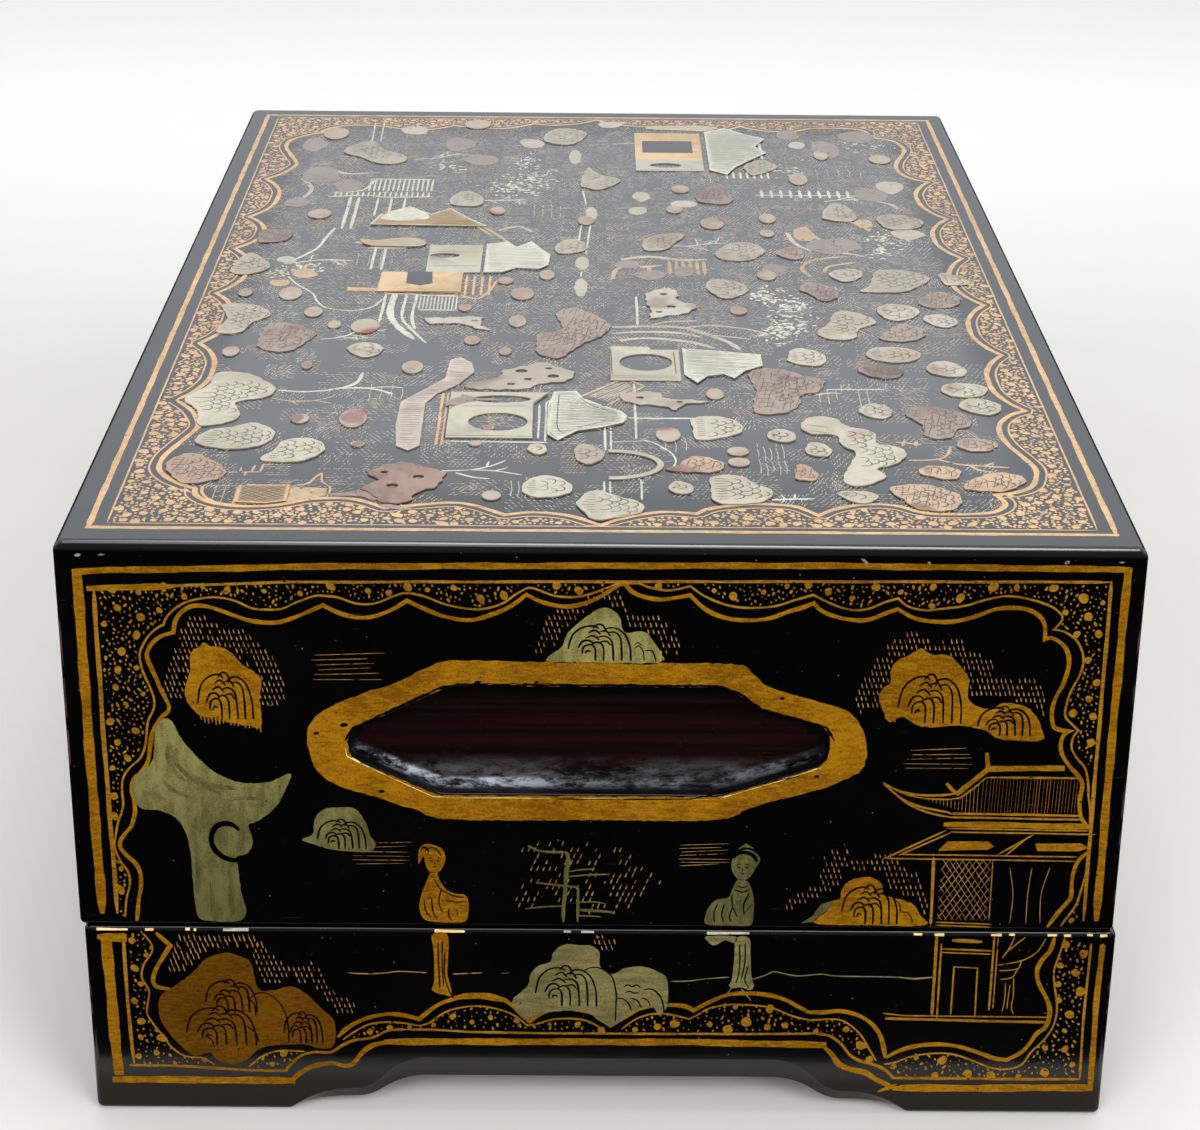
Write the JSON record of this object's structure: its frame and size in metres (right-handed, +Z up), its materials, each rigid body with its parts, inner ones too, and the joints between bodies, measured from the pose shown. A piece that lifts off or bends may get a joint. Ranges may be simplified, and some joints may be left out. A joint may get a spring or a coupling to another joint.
{
  "type": "lacquered box",
  "caption": "Black lacquered storage box: a deep lift-off cover with a hand recess in each end, over a low lined base on bracket feet, with gilt garden scenes.",
  "frame": {"origin": "middle of the box's footprint, on the plane that the feet rest on", "axes": "+Z up, +Y from the front end to the back end along the box's length, +X to the right of a viewer facing the front end"},
  "size_m": [0.2402, 0.3896, 0.1467],
  "materials": {
    "black_lacquer": "glossy black lacquer over wood",
    "inner_lacquer": "satin dark red-brown lacquer over wood",
    "bare_wood": "plain sawn softwood, dusty",
    "bamboo": "split bamboo",
    "pale_relief": "matt pale applied relief with engraved lines",
    "brown_relief": "matt brown applied relief with engraved lines",
    "grey_relief": "silvery grey applied relief",
    "gilt_relief": "gilded applied relief"
  },
  "bodies": {
    "base": {"base_back_apron": "black_lacquer", "base_corner_pins": "bamboo", "base_floor_board": "inner_lacquer", "base_front_apron": "black_lacquer", "base_left_apron": "black_lacquer", "base_right_apron": "black_lacquer", "batten_pins": "bamboo", "floor_batten_back": "bare_wood", "floor_batten_front": "bare_wood", "foot_block_back_left": "bare_wood", "foot_block_back_right": "bare_wood", "foot_block_front_left": "bare_wood", "foot_block_front_right": "bare_wood", "lining_back": "inner_lacquer", "lining_front": "inner_lacquer", "lining_left": "inner_lacquer", "lining_pins": "bamboo", "lining_right": "inner_lacquer"},
    "cover": {"cover_back_board": "black_lacquer", "cover_corner_pins": "bamboo", "cover_front_board": "black_lacquer", "cover_left_board": "black_lacquer", "cover_right_board": "black_lacquer", "cover_top_board": "black_lacquer", "cover_top_pins": "bamboo", "relief_boats": "gilt_relief", "relief_bridge": "pale_relief", "relief_brown_rocks_back": "brown_relief", "relief_brown_rocks_front": "brown_relief", "relief_far_hall_roof": "grey_relief", "relief_far_hall_wall": "pale_relief", "relief_front_gate_roof": "grey_relief", "relief_front_gate_wall": "pale_relief", "relief_garden_path": "pale_relief", "relief_left_hall": "pale_relief", "relief_left_hall_roof": "grey_relief", "relief_middle_gate_roof": "grey_relief", "relief_middle_gate_wall": "pale_relief", "relief_pale_rocks_back": "pale_relief", "relief_pale_rocks_front": "pale_relief", "relief_pale_rocks_middle": "pale_relief", "relief_pebbles": "pale_relief", "relief_pierced_rocks": "pale_relief", "relief_sail_roofs": "gilt_relief"}
  },
  "joints": [
    {"name": "cover_lift", "type": "slide", "parent": "base", "child": "cover", "axis": [0, 0, 1], "range_m": [0, 0.12]}
  ]
}
